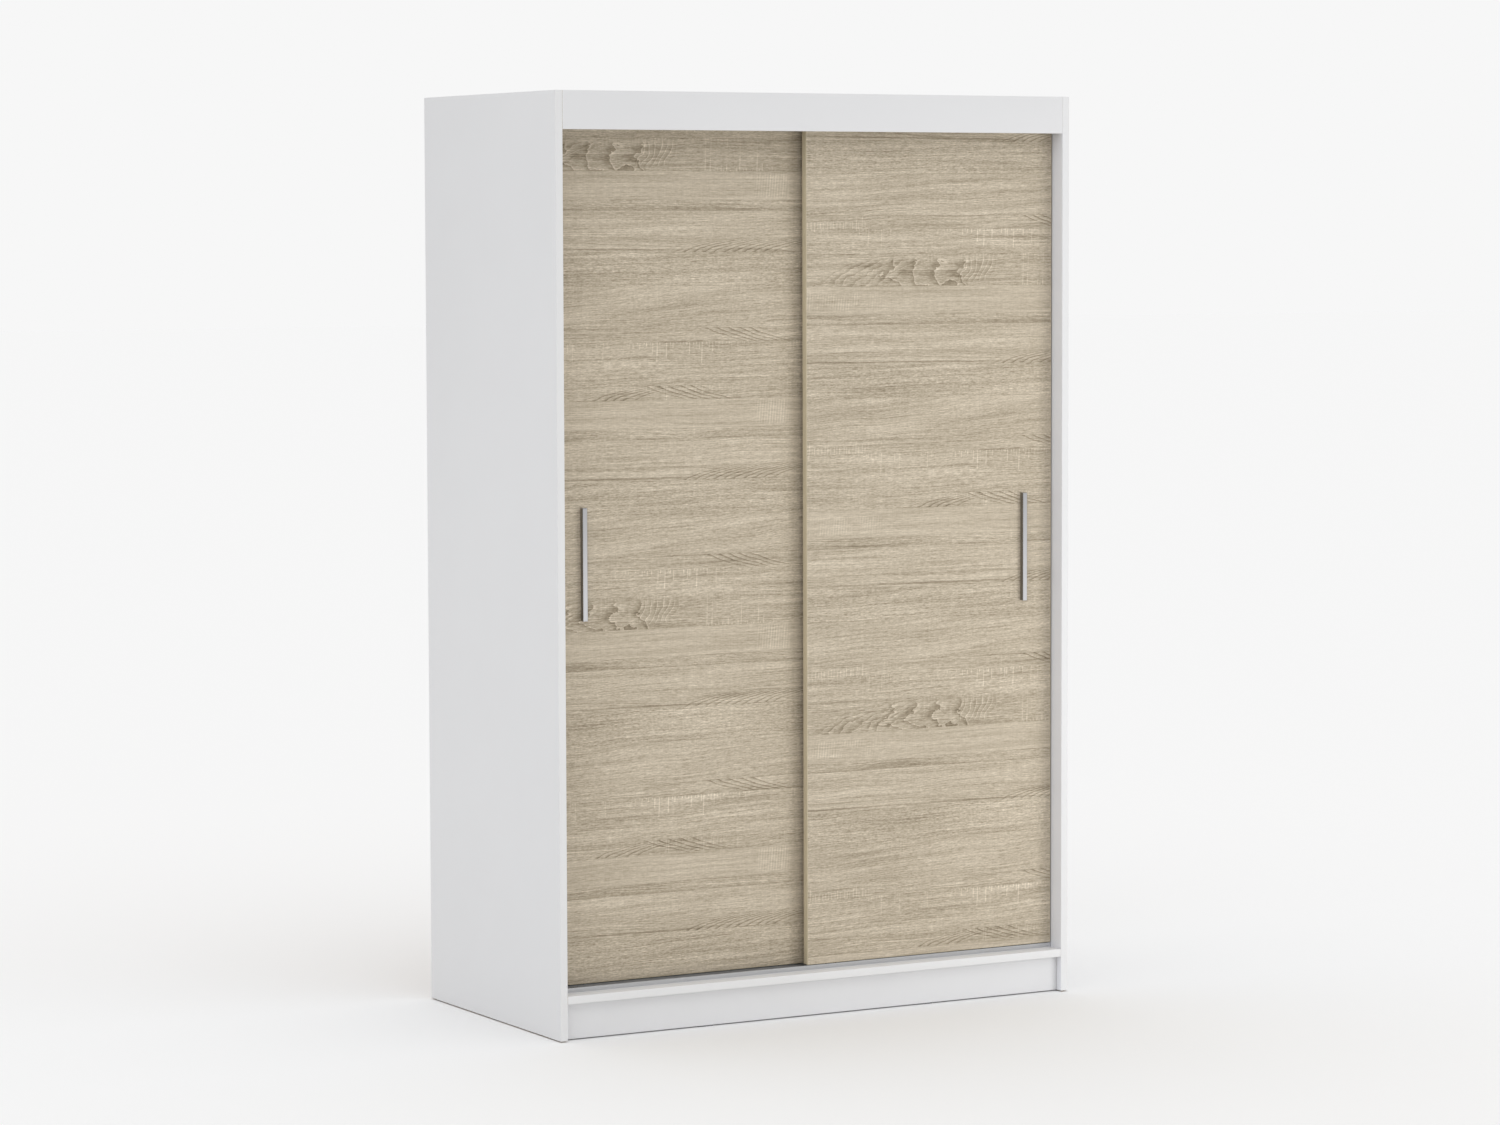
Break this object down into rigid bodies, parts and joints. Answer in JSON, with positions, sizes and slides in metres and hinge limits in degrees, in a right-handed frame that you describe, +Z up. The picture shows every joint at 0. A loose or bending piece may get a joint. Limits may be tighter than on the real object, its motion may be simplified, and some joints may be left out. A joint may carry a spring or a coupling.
{
  "type": "sliding door wardrobe",
  "caption": "Free-standing board wardrobe with overlapping oak-decor sliding doors on a twin bottom track, slim bar handles, shelves, a hat shelf and a hanging rail inside.",
  "frame": {"origin": "on the floor under the middle of the cabinet's outline", "axes": "+Z up, the doors face -Y, +X to the right of someone facing the doors"},
  "size_m": [1.2, 0.6, 1.88],
  "materials": {
    "white_board": "white melamine-faced chipboard, satin",
    "back_board": "white lacquered thin fibreboard",
    "oak_decor": "light sawn-oak decor melamine, horizontal grain, matt",
    "oak_edging": "oak-decor edge band, matt",
    "anodised_aluminium": "silver anodised extrusion",
    "handle_aluminium": "satin anodised bar",
    "chromed_steel": "bright chromed tube",
    "zinc_fitting": "zinc-plated die casting",
    "zinc_steel": "bright zinc-plated steel",
    "white_plastic": "moulded or extruded off-white plastic",
    "grey_plastic": "dark grey moulded plastic",
    "wheel_plastic": "dark acetal",
    "beech": "plain beech dowel"
  },
  "bodies": {
    "carcass": {"side_panel_left": "white_board", "side_panel_right": "white_board", "top_panel": "white_board", "bottom_panel": "white_board", "plinth_front": "white_board", "plinth_rear": "white_board", "plinth_brace": "white_board", "fascia": "white_board", "partition": "white_board", "back_panel_left": "back_board", "back_panel_right": "back_board", "back_joint_strip": "white_plastic", "shelf_1": "white_board", "shelf_2": "white_board", "shelf_3": "white_board", "shelf_4": "white_board", "hat_shelf": "white_board", "hanging_rail": "chromed_steel", "rail_bracket_inner": "zinc_fitting", "rail_bracket_outer": "zinc_fitting", "wall_brackets": "zinc_steel", "glides": "grey_plastic", "shelf_pins": "zinc_steel", "cam_discs": "zinc_steel", "cam_dowels": "zinc_steel", "wood_dowels": "beech", "confirmat_screws": "zinc_steel", "board_screws": "zinc_steel", "back_nails": "zinc_steel", "top_track": "anodised_aluminium", "bottom_track": "anodised_aluminium", "track_stops": "grey_plastic"},
    "leaf_left": {"door_left": "oak_decor", "edge_band_left": "oak_edging", "handle_left": "handle_aluminium", "handle_screws_left": "zinc_steel", "roller_housing_left_outer": "white_plastic", "roller_housing_left_inner": "white_plastic", "axles_left": "zinc_steel", "height_adjusters_left": "zinc_steel", "top_guide_left_outer": "white_plastic", "top_guide_left_inner": "white_plastic", "door_screws_left": "zinc_steel"},
    "leaf_right": {"door_right": "oak_decor", "edge_band_right": "oak_edging", "handle_right": "handle_aluminium", "handle_screws_right": "zinc_steel", "roller_housing_right_outer": "white_plastic", "roller_housing_right_inner": "white_plastic", "axles_right": "zinc_steel", "height_adjusters_right": "zinc_steel", "top_guide_right_outer": "white_plastic", "top_guide_right_inner": "white_plastic", "door_screws_right": "zinc_steel"},
    "roll_left_outer": {"wheel_left_outer": "wheel_plastic"},
    "roll_left_inner": {"wheel_left_inner": "wheel_plastic"},
    "roll_right_outer": {"wheel_right_outer": "wheel_plastic"},
    "roll_right_inner": {"wheel_right_inner": "wheel_plastic"}
  },
  "joints": [
    {"name": "door_left_slide", "type": "slide", "parent": "carcass", "child": "leaf_left", "axis": [1, 0, 0], "range_m": [0, 0.5695]},
    {"name": "door_right_slide", "type": "slide", "parent": "carcass", "child": "leaf_right", "axis": [1, 0, 0], "range_m": [-0.5695, 0]},
    {"name": "wheel_left_outer_spin", "type": "hinge", "parent": "leaf_left", "child": "roll_left_outer", "pos_m": [-0.5215, -0.2245, 0.1078], "axis": [0, 1, 0], "continuous": true},
    {"name": "wheel_left_inner_spin", "type": "hinge", "parent": "leaf_left", "child": "roll_left_inner", "pos_m": [-0.048, -0.2245, 0.1078], "axis": [0, 1, 0], "continuous": true},
    {"name": "wheel_right_outer_spin", "type": "hinge", "parent": "leaf_right", "child": "roll_right_outer", "pos_m": [0.5215, -0.2525, 0.1078], "axis": [0, 1, 0], "continuous": true},
    {"name": "wheel_right_inner_spin", "type": "hinge", "parent": "leaf_right", "child": "roll_right_inner", "pos_m": [0.048, -0.2525, 0.1078], "axis": [0, 1, 0], "continuous": true}
  ],
  "couplings": [
    {"joint": "wheel_left_outer_spin", "follows": "door_left_slide", "rad_per_m": 76.923},
    {"joint": "wheel_left_inner_spin", "follows": "door_left_slide", "rad_per_m": 76.923},
    {"joint": "wheel_right_outer_spin", "follows": "door_right_slide", "rad_per_m": 76.923},
    {"joint": "wheel_right_inner_spin", "follows": "door_right_slide", "rad_per_m": 76.923}
  ]
}
